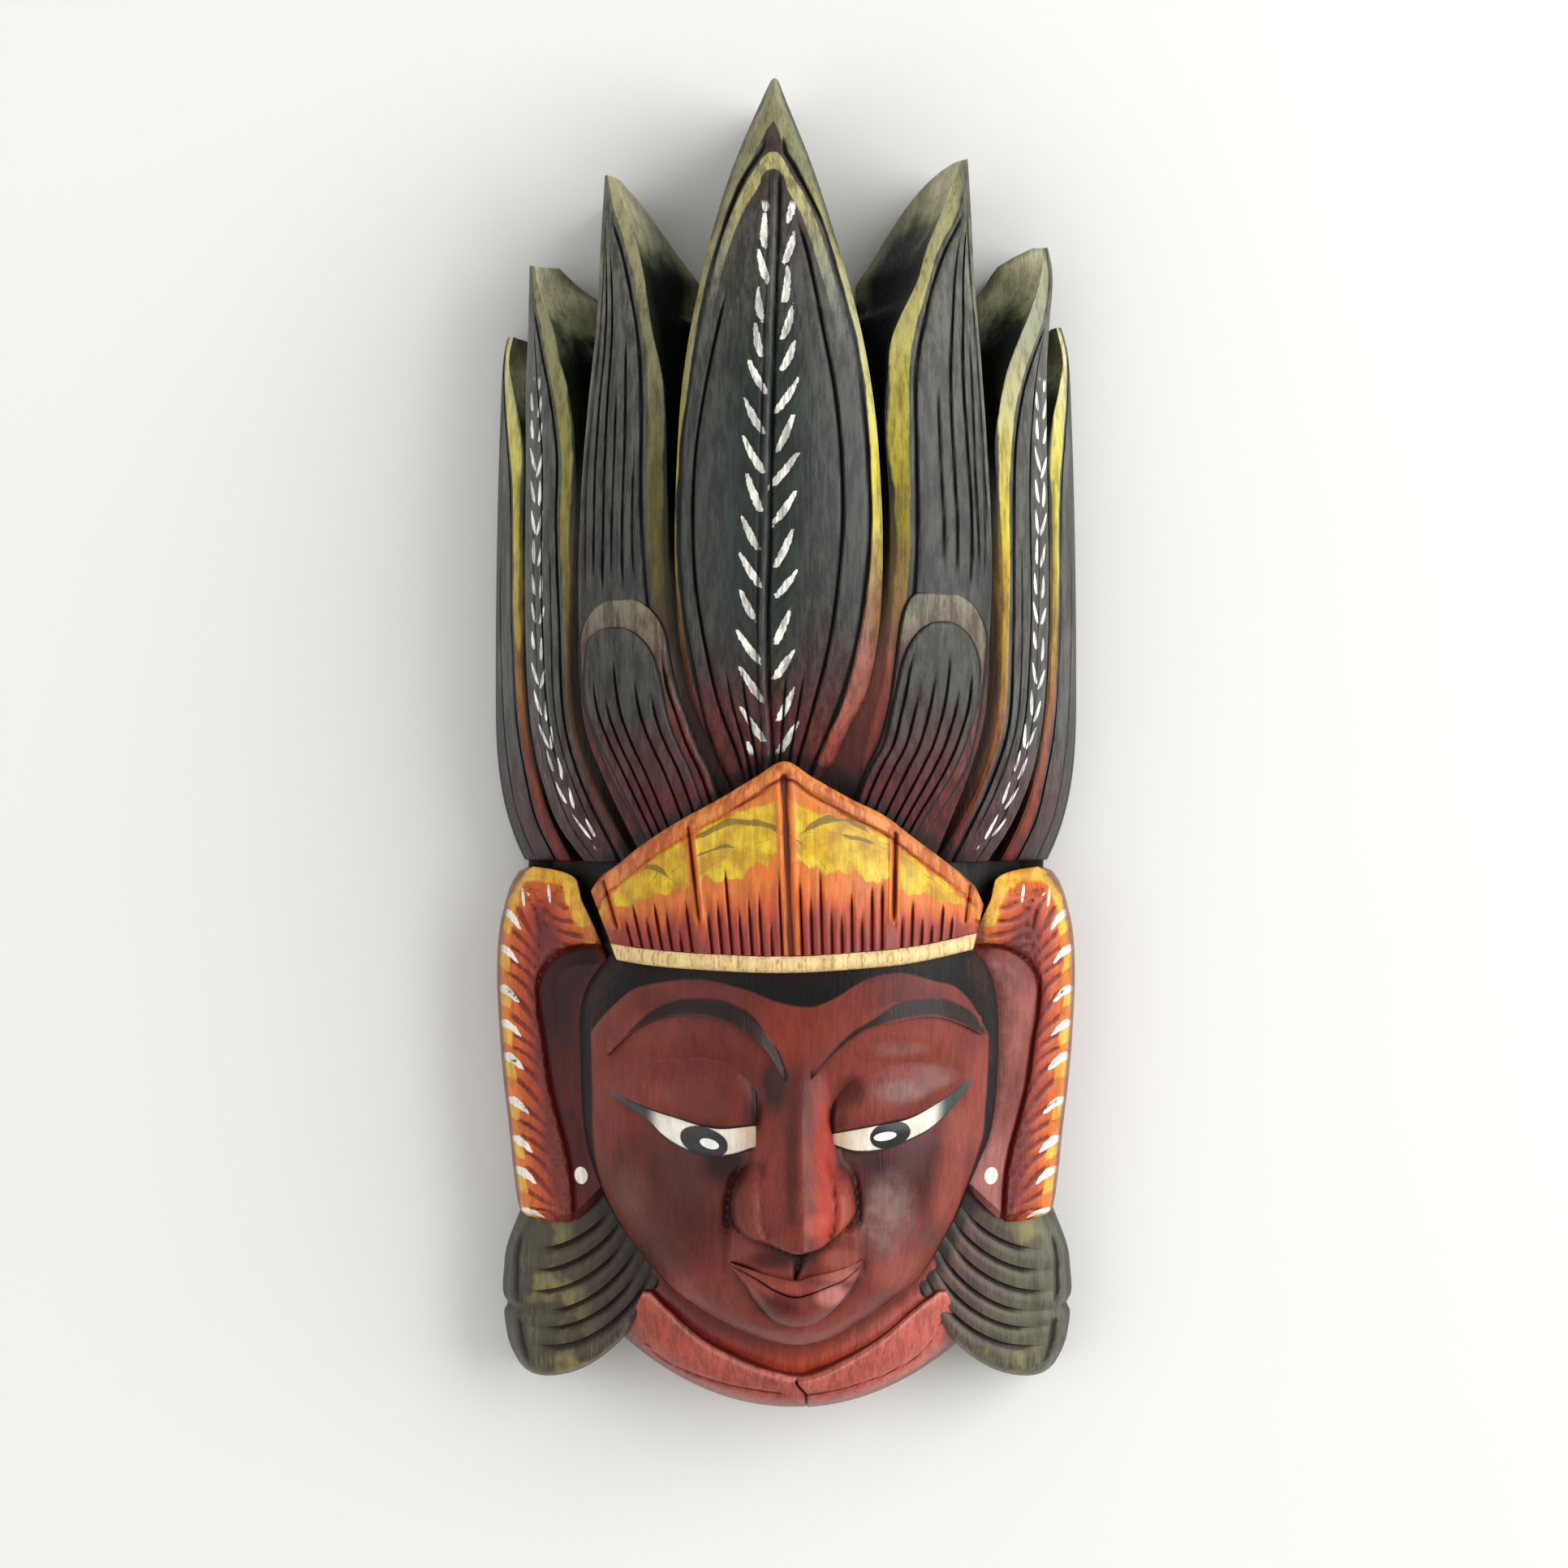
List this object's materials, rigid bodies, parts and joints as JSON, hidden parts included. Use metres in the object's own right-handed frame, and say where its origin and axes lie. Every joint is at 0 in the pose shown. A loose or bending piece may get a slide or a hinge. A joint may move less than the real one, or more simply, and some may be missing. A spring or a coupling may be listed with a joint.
{
  "type": "carved wooden goddess mask",
  "caption": "Tall carved wooden wall mask: a calm stylised face with long ears under a gabled headband and a crown of pointed leaves, over a collar, with a flat back hollowed behind the face.",
  "frame": {"origin": "middle of the mask's outline, in the plane of its sawn back, which it lies on", "axes": "+X towards the right side of the mask as seen from the front, +Y along the mask from the collar to the tip of the crown, +Z out of the face, away from the back"},
  "size_m": [0.2066, 0.4566, 0.1058],
  "materials": {
    "painted_wood": "hand painted in dark red, black, green, yellow and orange under a thin satin varnish"
  },
  "bodies": {
    "root": {"mask": "painted_wood"}
  },
  "joints": []
}
